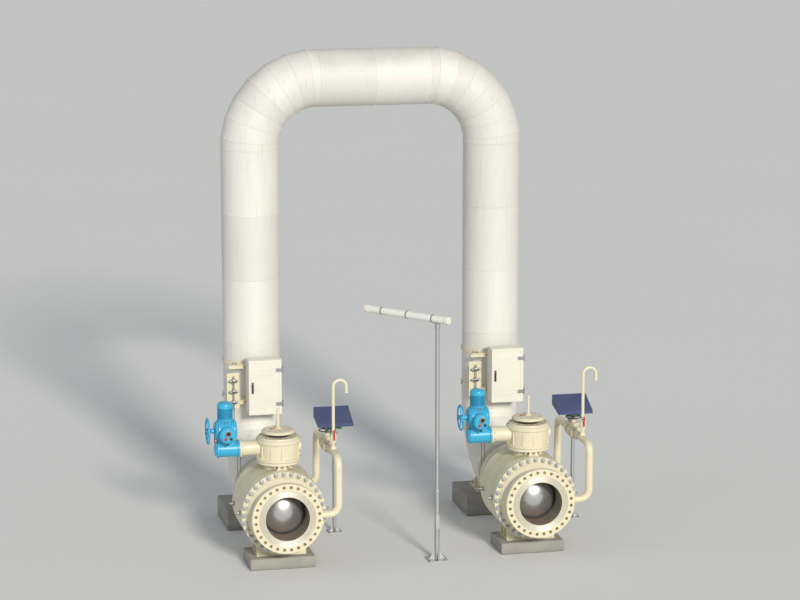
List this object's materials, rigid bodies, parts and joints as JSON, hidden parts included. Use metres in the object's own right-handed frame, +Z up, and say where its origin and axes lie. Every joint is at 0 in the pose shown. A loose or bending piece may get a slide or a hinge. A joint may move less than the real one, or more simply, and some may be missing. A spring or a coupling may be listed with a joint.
{
  "type": "overhead gas pipe loop",
  "caption": "Insulated inverted-U gas pipe loop on plinths, with an actuated ball valve, an instrument enclosure and a shaded transmitter at each foot.",
  "frame": {"origin": "on the ground under the middle of the whole object", "axes": "+Z up; +X along the loop from the left leg to the right leg as seen in the picture; +Y away from the valve stations"},
  "size_m": [6.428, 3.657, 7.5555],
  "materials": {
    "cladding": "matt sheet cladding",
    "cream_paint": "semi-gloss paint",
    "blue_paint": "gloss paint",
    "enclosure_shell": "matt moulded shell",
    "concrete": "cast concrete",
    "navy_paint": "semi-gloss paint",
    "green_paint": "semi-gloss paint",
    "galvanised": "galvanised",
    "lamp_cover": "matt"
  },
  "bodies": {
    "loop": {"top_run": "cladding", "lamp_pole": "galvanised", "tube_lamp": "lamp_cover", "left_leg": "cladding", "left_top_bend": "cladding", "left_foot_bend": "cladding", "left_inlet_flange": "cream_paint", "left_valve_body": "cream_paint", "left_valve_outlet": "cream_paint", "left_valve_bonnet": "cream_paint", "left_gear_drum": "cream_paint", "left_actuator": "blue_paint", "left_foot_plinth": "concrete", "left_foot_support": "cream_paint", "left_valve_plinth": "concrete", "left_valve_saddle": "cream_paint", "left_enclosure": "enclosure_shell", "left_instrument_rack": "cream_paint", "left_bypass_line": "cream_paint", "left_transmitter_post": "galvanised", "left_transmitter": "green_paint", "left_sunshade": "navy_paint", "right_leg": "cladding", "right_top_bend": "cladding", "right_foot_bend": "cladding", "right_inlet_flange": "cream_paint", "right_valve_body": "cream_paint", "right_valve_outlet": "cream_paint", "right_valve_bonnet": "cream_paint", "right_gear_drum": "cream_paint", "right_actuator": "blue_paint", "right_foot_plinth": "concrete", "right_foot_support": "cream_paint", "right_valve_plinth": "concrete", "right_valve_saddle": "cream_paint", "right_enclosure": "enclosure_shell", "right_instrument_rack": "cream_paint", "right_bypass_line": "cream_paint", "right_transmitter_post": "galvanised", "right_transmitter": "green_paint", "right_sunshade": "navy_paint"},
    "left_wheel": {"left_handwheel": "blue_paint"},
    "left_door": {"left_enclosure_door": "enclosure_shell"},
    "right_wheel": {"right_handwheel": "blue_paint"},
    "right_door": {"right_enclosure_door": "enclosure_shell"}
  },
  "joints": [
    {"name": "left_door_hinge", "type": "hinge", "parent": "loop", "child": "left_door", "pos_m": [-1.769, 0.4905, 2.385], "axis": [0, 0, 1], "range_deg": [0, 110]},
    {"name": "left_wheel_turn", "type": "hinge", "parent": "loop", "child": "left_wheel", "pos_m": [-3.152, -1.0535, 2.12], "axis": [1, 0, 0], "continuous": true},
    {"name": "right_door_hinge", "type": "hinge", "parent": "loop", "child": "right_door", "pos_m": [2.131, 0.4905, 2.385], "axis": [0, 0, 1], "range_deg": [0, 110]},
    {"name": "right_wheel_turn", "type": "hinge", "parent": "loop", "child": "right_wheel", "pos_m": [0.748, -1.0535, 2.12], "axis": [1, 0, 0], "continuous": true}
  ]
}
